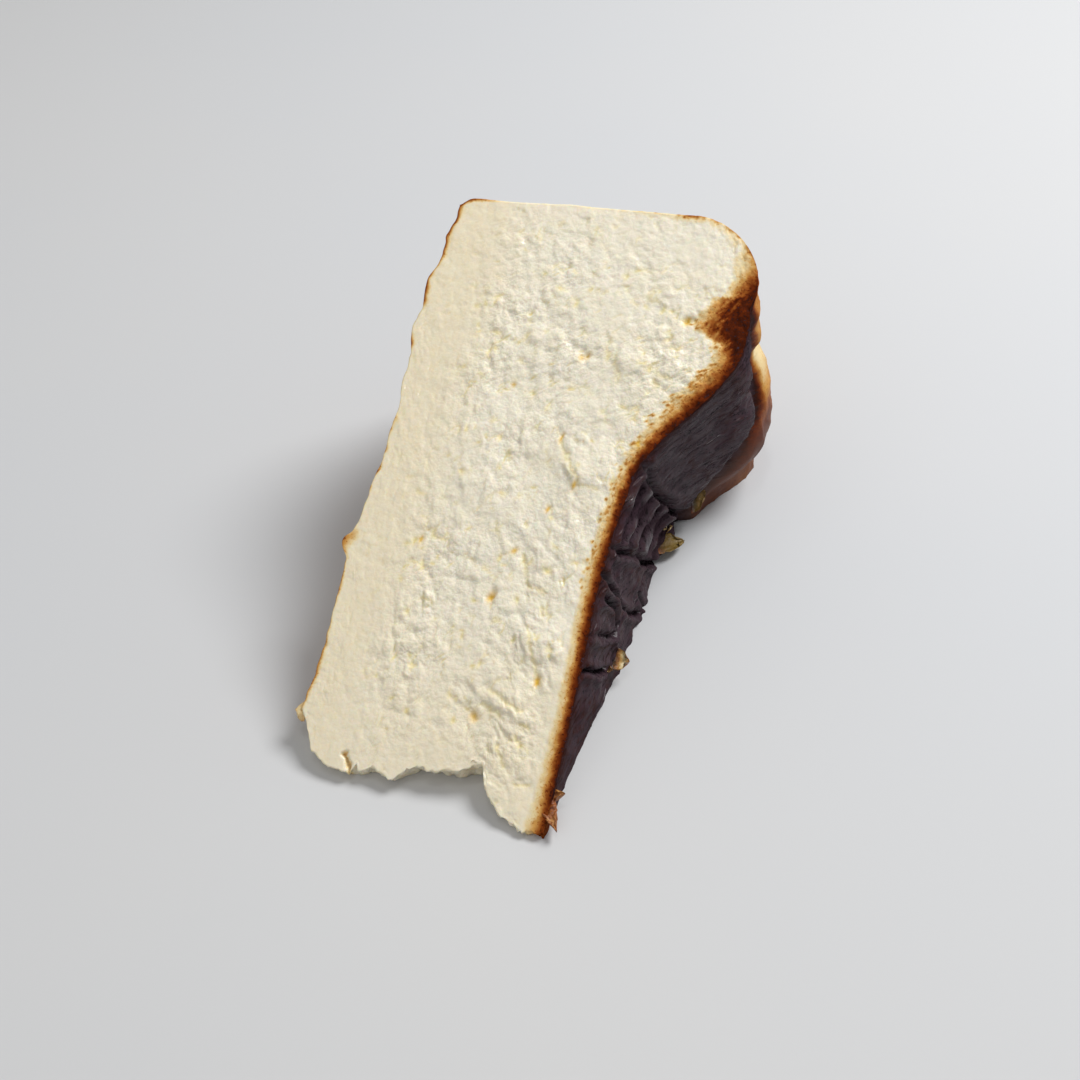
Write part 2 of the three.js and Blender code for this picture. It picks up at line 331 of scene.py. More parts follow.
def lumps(points, sizes, start):
    """Round lumps of several sizes, with sharp valleys between them."""
    total = 0
    for k, (size, rise) in enumerate(sizes.items()):
        total += rise * (np.abs(grain(points, size, start + 17.3 * k)) - 0.3)
    return total


def drawn_aside(points, sizes, ways):
    """How far chance draws points aside, in the first two or all three of their measures."""
    aside = np.zeros_like(points)
    for size, (far, start) in sizes.items():
        for way in range(ways):
            aside[:, way] += far * grain(points, size, start + way)
    return aside


def packed_curds(points, size, start):
    """Curds side by side on a flat cut: how far each stands out, its dome, and its edges from 0 to 1."""
    scaled = points[:, :2] / size + start
    cell = np.floor(scaled).astype(int)
    nearest = np.inf
    second = np.inf
    standing = 0
    for step in itertools.product((-1, 0, 1), repeat=2):
        x, y = ((cell + step) % GRAIN_CELLS).T
        pick = shuffle[(shuffle[x] + y) % GRAIN_CELLS]
        middle = cell + step + 0.5 + 0.45 * leanings[pick, :2]
        away = np.hypot(*(scaled - middle).T)
        closer = away < nearest
        second = np.where(closer, nearest, np.minimum(second, away))
        standing = np.where(closer, leanings[pick, 2], standing)
        nearest = np.where(closer, away, nearest)
    return standing, 0.4 - nearest**2, 1 - ramp(second - nearest, 0, CREVICE_WIDTH)


def curd_relief(points, start):
    """Rise of the curds, and the crevices between some of them, from 0 to 1."""
    rise = 0.08 * grain(points, 0.8, start + 3)
    crevices = 0
    parted = ramp(grain(points, PARTED_SIZE, start + 9), *PARTED_GRAIN)
    for k, (size, stand) in enumerate(CURD_SIZES.items()):
        standing, dome, edges = packed_curds(points, size, start + 17 * k)
        rise += stand * (CURD_TIERS * standing + (1 - CURD_TIERS) * dome)
        crevices = np.maximum(crevices, edges * parted * (size > 1))
    return rise, crevices


def from_line(x, y, x0, y0, x1, y1):
    """Distance from a straight line between two ends."""
    along = ((x - x0) * (x1 - x0) + (y - y0) * (y1 - y0)) / ((x1 - x0) ** 2 + (y1 - y0) ** 2)
    along = np.clip(along, 0, 1)
    return np.hypot(x - lerp(x0, x1, along), y - lerp(y0, y1, along))


def turned_axes(x, y, direction):
    """Distances along a direction in radians, and across it."""
    along = x * math.cos(direction) + y * math.sin(direction)
    across = y * math.cos(direction) - x * math.sin(direction)
    return along, across


# The curds are drawn out towards the rim, and high up towards the tip they slant
solid_points = np.stack((height, r * np.cos(turn), r * np.sin(turn)), -1)
flat_points = np.stack((height, r, 0 * r), -1)
bent = drawn_aside(flat_points, CUT_BENDS, 3)
cut_points = flat_points + bent
drawn_out = cut_points / (1, CURD_DRAG, 1)
slanting = np.stack((height + r, (height - r) / CURD_DRAG, 0 * r), -1) / math.sqrt(2) + bent
slant = ramp(height, *SLANT_HEIGHTS) * (1 - ramp(r, *SLANT_RADII))

# The cut is calmer along the base, by the side, at the tip and just under the thin crust
torn = ramp(height, *TORN_HEIGHTS) * (1 - 0.6 * ramp(r, *CALM_SIDE))
torn *= lerp(0.45, 1, np.maximum(ramp(r, *CALM_LOW_TIP), ramp(height, *TORN_HIGH_TIP)))
near_crust = (1 - ramp(below_top, *UNDER_CRUST)) * (1 - ramp(r, *THIN_CRUST))
torn = LEAST_TORN + (1 - LEAST_TORN) * torn * (1 - 0.85 * near_crust)
torn *= lerp(0.45, 1, ramp(r, *CALM_TIP)) * (0.9 + 0.6 * grain(cut_points, 10, 3))
curds, tears = lerp(np.array(curd_relief(drawn_out, 5)), np.array(curd_relief(slanting, 8)), slant)
fine_rise = torn * (curds - CREVICE_DEPTH * tears)

small_ledges = zip(
    chance.uniform(16, 96, SMALL_LEDGES),  # r
    chance.uniform(12, 44, SMALL_LEDGES),  # height
    chance.normal(25, 40, SMALL_LEDGES),  # direction
    chance.uniform(0.7, 1.8, SMALL_LEDGES),  # size
    chance.uniform(0.12, 0.28, SMALL_LEDGES),  # rise
)
ragged_r = r - 0.6 * grain(cut_points, 2.2, 60) - 0.3 * grain(cut_points, 0.9, 61)
ragged_height = height - 0.6 * grain(cut_points, 2.2, 70) - 0.3 * grain(cut_points, 0.9, 71)
for at_r, at_height, faces_to, size, full in itertools.chain(LEDGES, small_ledges):
    ahead, beside = turned_axes(at_r - ragged_r, at_height - ragged_height, math.radians(faces_to))
    tongue = bump(beside, size) * ramp(ahead, -LEDGE_RAMP * size, size)
    fine_rise += full * tongue * (1 - ramp(ahead, size, size + 0.5))

groove_shade = 0
for *ends, depth in GROOVES:
    away = from_line(ragged_r, ragged_height, *ends)
    fine_rise -= depth * (bump(away, GROOVE_WIDTH) + 0.4 * bump(away, GROOVE_FLANK))
    groove_shade = np.maximum(groove_shade, bump(away, GROOVE_WIDTH))

slit_shade = bump(from_line(ragged_r, ragged_height, *SLIT), SLIT_WIDTH)
fine_rise -= SLIT_DEPTH * slit_shade

pit_amber = 0
for at_r, at_height, size in AMBER_PITS:
    away = np.hypot((ragged_r - at_r) / 1.4, ragged_height - at_height)
    fine_rise -= 0.6 * size * bump(away, size)
    pit_amber = np.maximum(pit_amber, bump(away, 0.85 * size))

fleck_shade = 0
flecks = zip(
    chance.uniform(12, 104, FLECKS),  # r
    chance.uniform(9, 48, FLECKS),  # height
    chance.uniform(0, math.pi, FLECKS),  # direction
    chance.uniform(0.18, 0.4, FLECKS),  # size
)
for at_r, at_height, swung, size in flecks:
    along, across = turned_axes(ragged_r - at_r, ragged_height - at_height, swung)
    away = np.hypot(along / 2, across)
    fine_rise -= 0.5 * size * bump(away, size)
    fleck_shade = np.maximum(fleck_shade, bump(away, size))

rise = fine_rise.copy()
for at_r, at_height, width, full in TORN_LUMPS:
    rise += full * bump(np.hypot(r - at_r, height - at_height), width)
lifted = rise * ramp(r, *LEVEL_TIP)
turn = turn + c * lifted * bump(below_cut, CUT_REACH) / r

# Hollows, grooves, flecks and low places get a painted shade, yellower than the crumb round them, and the
# pits are stained amber
fleck_shade *= ramp(torn, 0.3, 0.6)
hollow_shade = 0.85 * np.maximum.reduce((0.8 * torn * tears, 0.6 * groove_shade, fleck_shade))
hollow_shade += 0.35 * ramp(-fine_rise, 0.2, 0.7)
hollow_shade = np.where(on_upper, np.clip(hollow_shade, 0, 1), 0)
amber = np.where(on_upper, np.clip(pit_amber, 0, 1), 0)

# The tip broke off in lumps, with a notch at the upper cut
tear = lumps(solid_points, TEAR_SIZES, 90) * lerp(0.4, 1, ramp(height, *TEAR_HEIGHTS))
tip_shift = -tear * bump(from_tip, TEAR_REACH) * (1 - 0.6 * on_top)
tip_shift += NOTCH_DEPTH * c * bump(height - NOTCH_HEIGHT, NOTCH_WIDTH) * bump(from_tip, 2)


# The burnt top
# The batter's own skin, browned to black in a fierce oven. It sank as the cake cooled, and so it
# wrinkled and cracked into plates. Inside the lip it is folded, and the lip's lobes are amber.
SKIN_CRACKS = [  # r and angle along each crack
    [(67.7, 30), (68.5, 21.2), (70.7, 14.8), (73.5, 10.8), (75.5, 6.8), (80.5, 2.9), (82, 0)],
    [(52, 30), (53, 24.6), (55.9, 18.1), (59.4, 10.5), (64.8, 2.9), (70, 0)],
    [(47, 30), (46.9, 22), (46.8, 15.7), (47.4, 11.7), (51.2, 4.9), (55.3, 0.6)],
    [(36, 30), (36.8, 26.9), (39, 18.1), (42.3, 11.6), (43.4, 12.8), (44.9, 18.1), (44.1, 25.8)],
    [(29, 30), (30.6, 27.2), (33.2, 14.9), (36.9, 7.1), (40.2, 8)],
    [(60.7, 4.7), (55.5, 6.2), (55.3, 3.5), (57, 0)],
    [(42.3, 11.6), (47.4, 11.7)],
]
CRACK_DEPTHS = (2.0, 2.2, 1.8, 1.8, 2.0, 1.4, 1.2)
CRACK_WIDTH = 0.4
CRACK_WANDER = 0.8
CRACK_LIP = 0.25  # of a crack's depth, where the plates' edges curl up
CRACK_LIP_AWAY = 1.2
SKIN_BENDS = {7: (1, 11), 2.4: (0.35, 13)}  # as for the cut
CRINKLE = 1.8
WANDER_SIZES = {4: 0.7, 1.5: 0.3}
DRAPE_ANGLE = 5.4
DRAPE_LEAN = 0.15  # degrees for each millimetre outwards
DRAPE_DEPTH = 1.4
DRAPE_EDGE = 2
SMALL_DRAPE_ANGLE = 0.4 * DRAPE_ANGLE
SMALL_DRAPE_DEPTH = 0.3
BAND_STEP = 0.8  # the skin outside the outer crack lies higher
BAND_STEP_SPREAD = 7
BAND_EDGE = 2
RUMPLED_RADII = (20, 34)
LOBE_EDGE = (0, 3)  # past the fold
CREPE_STRETCH = 2.2  # the band's fine creases run outwards
CREPE_BEND = 0.8
LEVEL_BY_CUT = (0, 2.5)  # below the upper cut
CLOSED_BY_CUT = (0.3, 2)
SKIN_REACH = 3  # how deep below the skin its relief moves the slice


def ridges(points, size, start):
    """Thin raised wrinkles, from 0 between them to 1 along them."""
    return np.clip(1 - 2.4 * np.abs(grain(points, size, start)), 0, 1) ** 2


arc = r * turn
skin_points = np.stack((r, arc, 0 * r), -1)
skin_bend = drawn_aside(skin_points, SKIN_BENDS, 2)
crinkled = skin_points + CRINKLE * skin_bend
wander = layers(skin_points, WANDER_SIZES, 15)


def crack_distance(path):
    """Distance from a crack's wandering path, seen from straight above the cake."""
    bent_r = r + CRACK_WANDER * skin_bend[:, 0]
    bent_turn = (arc + CRACK_WANDER * skin_bend[:, 1]) / r
    x, y = bent_r * np.cos(bent_turn), bent_r * np.sin(bent_turn)
    corners = [(q * math.cos(math.radians(w)), q * math.sin(math.radians(w))) for q, w in path]
    stretches = [from_line(x, y, *start, *end) for start, end in itertools.pairwise(corners)]
    return np.min(stretches, axis=0)


def crack_radius(path):
    radii, angles = zip(*path)
    return np.interp(angle, angles[::-1], radii[::-1])


skin_rise = 0
crack_shade = 0
gape = np.clip(0.85 + 0.9 * grain(skin_points, 5, 17), 0.3, 1.5)
for path, depth in zip(SKIN_CRACKS, CRACK_DEPTHS):
    away = crack_distance(path)
    skin_rise -= depth * gape * bump(away, CRACK_WIDTH * gape)
    skin_rise += CRACK_LIP * depth * bump(away - CRACK_LIP_AWAY, 0.6)
    crack_shade = np.maximum(crack_shade, bump(away, CRACK_WIDTH * gape))

# Between the two long cracks the skin hangs in drapes
outer_crack = crack_radius(SKIN_CRACKS[0])
inner_crack = crack_radius(SKIN_CRACKS[1])
draped = ramp(r, inner_crack, inner_crack + DRAPE_EDGE)
draped = draped - ramp(r, outer_crack - DRAPE_EDGE, outer_crack)
drape_swing = angle + 3 * grain(skin_points, 9, 5) + 0.8 * grain(skin_points, 4, 6)
drape_swing += DRAPE_LEAN * (r - inner_crack)
crests = 0.5 + 0.5 * wave(drape_swing, DRAPE_ANGLE)
small_crests = 0.5 + 0.5 * wave(drape_swing + grain(skin_points, 4, 7), SMALL_DRAPE_ANGLE)
crests *= np.clip(0.8 + 0.9 * grain(skin_points, 6, 8), 0.3, 1)
skin_rise += draped * (DRAPE_DEPTH * crests**1.3 + SMALL_DRAPE_DEPTH * small_crests)
# Painted shade: the drapes' valleys are marked to be darkened on the skin
valley_shade = draped * (1 - ramp(crests + 0.2 * small_crests, 0.3, 0.85))
band_edge = ramp(r, outer_crack - 1, outer_crack + 0.6)
skin_rise += BAND_STEP * band_edge * bump(r - outer_crack, BAND_STEP_SPREAD)

# Towards the centre it lies in rumpled plates, and towards the rim in a finely creased band
plated = 1 - ramp(r, inner_crack - 1, inner_crack + 1)
rumpled = plated * ramp(r, *RUMPLED_RADII)
skin_rise += plated * (0.9 * grain(skin_points, 9, 21) + 0.2 * ridges(crinkled, 4.5, 22))
skin_rise += rumpled * (0.6 * ridges(crinkled, 8, 23) + 0.12 * ridges(crinkled, 2.6, 24))
past_fold = r - fold_radius(angle)
rim_side = ramp(past_fold, *LOBE_EDGE)
banded = ramp(r, outer_crack, outer_crack + BAND_EDGE) * (1 - rim_side)
crepe_points = np.stack((r / CREPE_STRETCH, arc, 0 * r), -1) + CREPE_BEND * skin_bend
skin_rise += banded * (0.3 * ridges(crepe_points, 2.2, 31) + 0.4 * grain(skin_points, 9, 32))
skin_rise += rim_side * (0.4 * grain(skin_points, 7, 41) + 0.3 * ridges(crinkled, 6, 42))
skin_rise *= lerp(0.2, 1, ramp(below_cut, *LEVEL_BY_CUT))
crack_shade *= ramp(below_cut, *CLOSED_BY_CUT)
height_shift = skin_rise * bump(below_top, SKIN_REACH) * (1 - on_side)


# The baked side and base
# Where the batter set against crumpled baking paper: a thin golden skin that keeps the paper's
# upright creases round the wall and its shallow wrinkles under the base.
PAPER_FOLDS = 34  # on each
FOLD_FLANK = 2.4
SLICE_WIDTH = SHOULDER_RADIUS * math.radians(SLICE_ANGLE)
WALL_WRINKLES = {14: 0.5, 6: 0.3}  # size and depth
WALL_STRETCH = 3.2  # they run upright
WALL_REACH = 3  # how deep the relief moves the slice
WALL_FOOT = (0, 6)  # heights
WALL_HEAD = (44, 54)
BASE_WRINKLES = {12: 0.4, 5: 0.2}
BASE_REACH = 2.5
SHALLOW = (0, 5)  # below the upper cut


def paper_print(across, along, wide, long):
    """Sharp straight creases that crumpled paper leaves, some raised and some pressed in."""
    print_rise = 0
    folds = zip(
        chance.uniform(0, wide, PAPER_FOLDS),
        chance.uniform(0, long, PAPER_FOLDS),
        chance.normal(math.pi / 2, 0.6, PAPER_FOLDS),  # direction
        chance.uniform(0.15, 0.45, PAPER_FOLDS) * chance.choice((-1, 1), PAPER_FOLDS),  # rise
        chance.uniform(8, 26, PAPER_FOLDS),  # half its length
    )
    for at_across, at_along, swung, full, reach in folds:
        run, off = turned_axes(across - at_across, along - at_along, swung)
        flank = np.clip(1 - np.abs(off) / FOLD_FLANK, 0, 1)
        print_rise += full * flank * (1 - ramp(np.abs(run), 0.5 * reach, reach))
    return print_rise


wall_points = np.stack((height / WALL_STRETCH, arc, 0 * r), -1)
wall_print = paper_print(arc, height, SLICE_WIDTH, LIP_HEIGHT[1])
base_print = paper_print(arc, r, SLICE_WIDTH, SHOULDER_RADIUS)
inside_cut = ramp(below_cut, *SHALLOW)
wall_rise = (lumps(wall_points, WALL_WRINKLES, 51) + wall_print) * ramp(above_base, *WALL_FOOT)
wall_rise *= lerp(0.4, 1, inside_cut) * lerp(1, 0.3, ramp(height, *WALL_HEAD))
side_shift = wall_rise * bump(from_side, WALL_REACH)
base_rise = (lumps(skin_points, BASE_WRINKLES, 61) + base_print) * lerp(0.3, 1, inside_cut)
base_rise += 0.22 * grain(solid_points, 1.7, 64) * bump(below_cut, 1)
height_shift = height_shift - base_rise * bump(above_base, BASE_REACH) * (1 - on_side)

r = r + tip_shift + side_shift
height = height + height_shift


# Browning
# The same batter passes from cream through gold and brown to black as it bakes. How far it went is
# kept at each point: thin at the wall and base, deep under the burnt top and where it folded in.
CRUST_AT = (0, 12, 60, 66, 75, 80.5, 85.6, 88.6, 92.2, 93.4, 95, 99.1, 102.9, 106.1, 110, 113)  # r
GOLD_DEPTHS = (2.6, 2.1, 2.1, 2.1, 2.9, 3.6, 4, 3.7, 4.7, 7.8, 9.6, 6.9, 5.4, 3.6, 1.8, 0.6)
DARK_DEPTHS = (0.2, 0.6, 0.6, 0.6, 0.7, 1, 0.9, 1, 2.2, 3.6, 5, 3, 1.1, 0.2, 0, 0)
GOLD_BAKE = 0.14
DARK_BAKE = 0.64
DARKEST_CRUMB = 0.74
HALO_WIDTH = 1.2
BROWNING_POWER = (1.25, 0.85)  # along the top, and where it folded in
SPECKLE_SIZES = {2.6: 1, 1.1: 0.8, 0.6: 0.6}
SPECKLE_DEPTHS = (0.22, 0.6)  # towards the centre and towards the rim
SPECKLE_RADII = (50, 72)
FOLDED_FROM = (86, 92)
FOLDED_TO = (101, 105)
STREAK_SIZES = {1: 0.32, 0.45: 0.18}
STREAK_LENGTH = 3
STREAK_WIDTH = 0.9
FRECKLES = 220
PALER_LIP = (103.5, 108)  # radii
PALER_TIP = (6, 14)
PATCH_SIZES = {7: 1, 2: 0.5}
PATCHY_RADII = (30, 60)  # the base's edge is browner outwards
ALL_BROWN = (92, 104)
BROWN_TIP = 20
WARM_HEIGHTS = (4, 20)
WARM_RADII = (10, 42)
WARM_BAKE = 0.035
SCRAP_BAKE = 0.36
CORNER_HEIGHTS = (2, 9)
MOTTLE_SIZES = {9: 1, 3.5: 0.5}
LOBE_ANGLES = (0, 1, 3, 6.5, 9.5, 11.5, 13, 14.5, 17.5, 22, 30)
LOBE_BAKES = (0.56, 0.64, 0.7, 0.7, 0.62, 0.48, 0.32, 0.21, 0.21, 0.32, 0.5)
LOBE_BACK = (9, 17)  # past the fold
LOBE_FRONT = (0.8, 4)
PALE_LOBE_ANGLE = 16.5
BURNT_BAKES = (0.85, 0.89)  # at the tip and on the plates
BURNT_RADII = (22, 36)
CHOCOLATE_BAKE = 0.76
CHOCOLATE_ANGLES = (17, 29)
CHOCOLATE_RADII = (83, 93)
FOLD_SHADE_BAKE = 0.97
FOLD_SHADED = (21, 25)
EDGE_BAKE = 0.8
TIP_BAKE = 0.56
TIP_SKIN = (6, 10)
SIDE_BAKE = 0.25
SIDE_DARKER = (36, 56)  # heights
BASE_BAKE = 0.33
GLAZE = (0.14, 0.32)  # at the tip and on the plates
GLAZE_RADII = (24, 38)
LOW_BAND_ANGLES = (5, 15)
DULL_ANGLES = (8, 13)


def skin_depth():
    """How far each point lies below the baked skin, straight across it."""
    drop = top_height(r, angle, c) - height
    slope = top_height(r + 0.5, angle, c) - top_height(r - 0.5, angle, c)
    rim = SHOULDER_RADIUS - LIP_RADIUS
    out = np.maximum(0, r - LIP_RADIUS) / rim
    up = np.maximum(0, height - SHOULDER_HEIGHT) / (lip_height(angle, c) - SHOULDER_HEIGHT)
    return np.where(r > LIP_RADIUS, (1 - np.hypot(out, up)) * rim, drop / np.hypot(1, slope))


# Gold where the crust meets the crumb, then brown, then nearly black just under the burnt top
speckle = layers(solid_points, SPECKLE_SIZES, 81)
gold_depth = np.interp(r + 0.7 * speckle, CRUST_AT, GOLD_DEPTHS)
dark_depth = np.interp(r + 0.7 * speckle, CRUST_AT, DARK_DEPTHS)
depth = skin_depth() + lerp(*SPECKLE_DEPTHS, ramp(r, *SPECKLE_RADII)) * speckle
halo = GOLD_BAKE * (1 - ramp(depth, gold_depth, gold_depth + HALO_WIDTH))
through = np.clip((gold_depth - depth) / (gold_depth - dark_depth), 0, 1)
folded_in = ramp(r, *FOLDED_FROM) * (1 - ramp(r, *FOLDED_TO))
crumb_bake = halo + (DARK_BAKE - GOLD_BAKE) * through ** lerp(*BROWNING_POWER, folded_in)
crumb_bake += 0.2 * ramp(dark_depth - depth, 0, 0.8)

# Where the rim folded in, the brown runs in slanting streaks
fibres = np.stack(((r + height) / STREAK_LENGTH, (r - height) / STREAK_WIDTH, 0 * r), -1)
fibres += 0.4 * speckle[:, None]
crumb_bake += folded_in * through * (0.06 + layers(fibres, STREAK_SIZES, 88))

# Small brown freckles lie along the gold edge, which is paler under the lip and at the tip
freckles = zip(
    chance.uniform(44, 97, FRECKLES),  # r
    chance.normal(0, 0.6, FRECKLES),  # how far beyond the gold
    chance.uniform(0.18, 0.4, FRECKLES),  # size
    chance.uniform(0.15, 0.5, FRECKLES),  # bake
)
for at_r, beyond, size, full in freckles:
    at_depth = np.interp(at_r, CRUST_AT, GOLD_DEPTHS) + beyond
    crumb_bake = np.maximum(crumb_bake, full * bump(np.hypot(r - at_r, depth - at_depth), size))
crumb_bake *= lerp(1, 0.6, ramp(r, *PALER_LIP)) * lerp(0.92, 1, ramp(r, *PALER_TIP))

# A thin patchy brown line runs along the base's edge, and the crumb is warmer there and at the tip
patches = ramp(layers(solid_points, PATCH_SIZES, 86), -0.1, 0.6)
patches = np.maximum(patches * lerp(0.4, 1, ramp(r, *PATCHY_RADII)), ramp(r, *ALL_BROWN))
patches = np.maximum(patches, 0.7 * bump(r - BROWN_TIP, 8))
base_line = (0.08 + 0.45 * patches) * bump(above_base, 0.2 + 0.4 * patches)
crumb_bake = np.maximum(crumb_bake, base_line)
warm = np.maximum(1 - ramp(height, *WARM_HEIGHTS), 0.75 * (1 - ramp(r, *WARM_RADII)))
crumb_bake += WARM_BAKE * warm * (1 - ramp(crumb_bake, 0, 0.1))
scrap_bake = SCRAP_BAKE * bump(r - SCRAP_RADIUS, 2.4) * bump(above_base, 1.3)
# The slit is browned a little here: painted shade in the slit
crumb_bake = np.maximum.reduce((crumb_bake, scrap_bake, 0.2 * slit_shade))
corner = 1 - ramp(height, *CORNER_HEIGHTS)
side_line = (0.02 + 0.03 * patches + 0.5 * corner) * bump(from_side, 0.3 + 0.3 * corner)
crumb_bake = np.maximum(crumb_bake, side_line)
crumb_bake = np.minimum(crumb_bake, DARKEST_CRUMB)
# The hollows' painted shade fades where the crumb browned
hollow_shade = hollow_shade * (1 - ramp(crumb_bake, 0.04, 0.2))

# The lip's lobes run from brown to gold, and are paler over the lip
mottle = layers(solid_points, MOTTLE_SIZES, 84)
lobe_bake = np.interp(angle + 1.2 * wander, LOBE_ANGLES, LOBE_BAKES)
lobe_bake = lobe_bake + 0.1 * mottle - 0.14 * ramp(past_fold, *LOBE_BACK)
pale_lobe = bump(angle - PALE_LOBE_ANGLE - wander, 1.6)
lobe_bake = lobe_bake - 0.08 * pale_lobe * ramp(past_fold, 2, 5)

# The burnt skin is blackest in its cracks, drape valleys and fold: painted shade there, and like chocolate
# high on the band
burnt_bake = lerp(*BURNT_BAKES, ramp(r, *BURNT_RADII)) + 0.05 * grain(crinkled, 6, 91)
burnt_bake += 0.06 * grain(crinkled, 1.6, 92)
burnt_bake += 0.04 * banded * (ridges(crepe_points, 1.6, 33) - 0.35)
burnt_bake = lerp(burnt_bake, 1, np.maximum(crack_shade, 0.5 * valley_shade) * (1 - rim_side))
chocolate = ramp(angle + 3 * wander, *CHOCOLATE_ANGLES)
chocolate = chocolate * ramp(r + 2 * wander, *CHOCOLATE_RADII)
burnt_bake = lerp(burnt_bake, CHOCOLATE_BAKE, 0.8 * chocolate)
# Painted shade where the band's upper end meets the fold
fold_shade = ramp(angle + wander, *FOLD_SHADED)
fold_shade = fold_shade * bump(past_fold + 5.5, 3.5)
burnt_bake = lerp(burnt_bake, FOLD_SHADE_BAKE, 0.8 * fold_shade)
by_cut = bump(below_cut, CUT_REACH)
burnt_bake = lerp(burnt_bake, EDGE_BAKE, 0.8 * by_cut)

# Each point takes the browning of the face that it lies on, and the upper cut's edges the crumb's
lobe_share = ramp(past_fold + 1.2 * wander, *LOBE_FRONT)
top_bake = lerp(burnt_bake, np.clip(lobe_bake, 0.1, 0.9), lobe_share)
top_bake = lerp(TIP_BAKE + 0.08 * mottle, top_bake, ramp(r + 1.5 * wander, *TIP_SKIN))
side_bake = SIDE_BAKE + 0.07 * mottle + 0.1 * wall_rise + 0.14 * ramp(height, *SIDE_DARKER)
base_bake = BASE_BAKE + 0.09 * mottle + 0.1 * base_rise
cut_edge = on_upper & (on_side | on_base) & ~on_top
bakes = (crumb_bake, top_bake, side_bake, base_bake)
bake = np.select((cut_edge, on_top, on_side, on_base), bakes, crumb_bake)

# The skin shines most along the drapes' crests, and the lowest lobe is dull
glaze = lerp(*GLAZE, ramp(r, *GLAZE_RADII)) + 0.12 * grain(crinkled, 5, 95)
glaze *= (1 - 0.85 * chocolate) * (1 - 0.8 * by_cut)
glaze += 0.12 * banded * (1 - ramp(angle, *LOW_BAND_ANGLES))
glaze = lerp(glaze, crests**3, draped)
glaze = np.where(on_top, np.clip(glaze, 0, 1), 0)
dull = 0.6 * rim_side * (1 - ramp(angle + 1.5 * wander, *DULL_ANGLES)) * on_top


# The slice's mesh
# The whole slice is one piece, closed all round, with three finishes: crumb, burnt skin and the
# golden skin of the side and base. The tip and the faces that lie down or were lined have fewer points.
TIP_WIDTH = 4

points = np.stack((height - ORIGIN_HEIGHT, r * np.cos(turn) - ORIGIN_RADIUS, r * np.sin(turn)), -1)


def fully(corners):
    """Triangles through all the points of one wall of a box."""
    first, second, third, last = corners[:-1, :-1], corners[1:, :-1], corners[1:, 1:], corners[:-1, 1:]
    halves = np.stack((first, second, third, first, third, last), -1)
    return halves.reshape(-1, 3)


def thinned(corners, every, across, down):
    """Triangles through the border of one wall of a box, and through some of its inner points."""
    row, column = np.indices(corners.shape)
    inner = (row % every[0] == 0) & (column % every[1] == 0)
    inner[[0, -1]] = True
    inner[:, [0, -1]] = True
    steps = np.array(corners.shape) - 1
    flat = np.stack((row[inner] * across / steps[0], column[inner] * down / steps[1]), -1)
    triangles, sources = delaunay_2d_cdt([Vector(p) for p in flat], [], [], 0, 1e-6)[2:4]
    sources = np.array([source[0] for source in sources])
    return corners[inner][sources[np.array(triangles)]]


def box_walls(number):
    """The points of a box's six walls, each turned to face outwards."""
    return number[:, :, -1], number[:, :, 0].T, number[:, 0], number[-1], number[:, -1].T, number[0].T


upper, lower, tip, top, side, base = box_walls(number)
walls = [  # each wall's finish and triangles
    ("crumb", fully(upper)),
    ("crumb", thinned(lower, (6, 6), SHOULDER_RADIUS, CENTRE_HEIGHT)),
    ("crumb", thinned(tip, (1, 5), CENTRE_HEIGHT, TIP_WIDTH)),
    ("burnt skin", fully(top)),
    ("golden skin", thinned(side, (2, 2), LIP_HEIGHT[1], LIP_HEIGHT[1])),
    ("golden skin", thinned(base, (4, 4), LIP_HEIGHT[1], SHOULDER_RADIUS)),
]
finishes = ["crumb", "burnt skin", "golden skin"]
finish_of_face = np.concatenate([np.full(len(part), finishes.index(name)) for name, part in walls])
used, faces = np.unique(np.concatenate([part for _, part in walls]), return_inverse=True)


def new_piece(name, points, faces, attributes):
    """A smooth mesh in metres, with a value or a vector kept at each of its points."""
    mesh = bpy.data.meshes.new(name)
    mesh.from_pydata((points * MM).tolist(), [], faces.reshape(-1, 3).tolist())
    mesh.shade_smooth()
    for label, values in attributes.items():
        kind, field = ("FLOAT", "value") if values.ndim == 1 else ("FLOAT_VECTOR", "vector")
        mesh.attributes.new(label, kind, "POINT").data.foreach_set(field, values.ravel())
    piece = bpy.data.objects.new(name, mesh)
    bpy.context.scene.collection.objects.link(piece)
    return piece


kept_values = {"bake": bake, "amber": amber, "hollow_shade": hollow_shade, "glaze": glaze, "torn": torn, "dull": dull}
kept_values["creped"] = 1 + 0.5 * banded - 0.8 * rim_side
kept_values["lay"] = np.stack((r, arc, height), -1)
kept_values = {label: values[used] for label, values in kept_values.items()}
cheesecake = new_piece("cheesecake", points[used], faces, kept_values)
cheesecake.data.polygons.foreach_set("material_index", finish_of_face)


def make(tree, kind, sockets=None, **settings):
    """A shader node. Each socket is set to a value or linked from another node's output."""
    made = tree.nodes.new("ShaderNode" + kind)
    for name, value in settings.items():
        setattr(made, name, value)
    for name, value in (sockets or {}).items():
        if isinstance(value, bpy.types.NodeSocket):
            tree.links.new(value, made.inputs[name])
        else:
            made.inputs[name].default_value = value
    return made


def math_node(tree, operation, first, second, third=0.0):
    return make(tree, "Math", {0: first, 1: second, 2: third}, operation=operation).outputs[0]


def linear(red, green, blue):
    """A colour as it is seen on a screen, from 0 to 255, as light."""
    seen = [v / 255 for v in (red, green, blue)]
    return [v / 12.92 if v < 0.04045 else ((v + 0.055) / 1.055) ** 2.4 for v in seen] + [1]


def noise_over(tree, scale, detail):
    """Noise from 0 to 1 over a piece, with its scale to the metre."""
    where = make(tree, "TexCoord").outputs["Object"]
    return make(tree, "TexNoise", {"Vector": where, "Scale": scale, "Detail": detail}).outputs["Fac"]


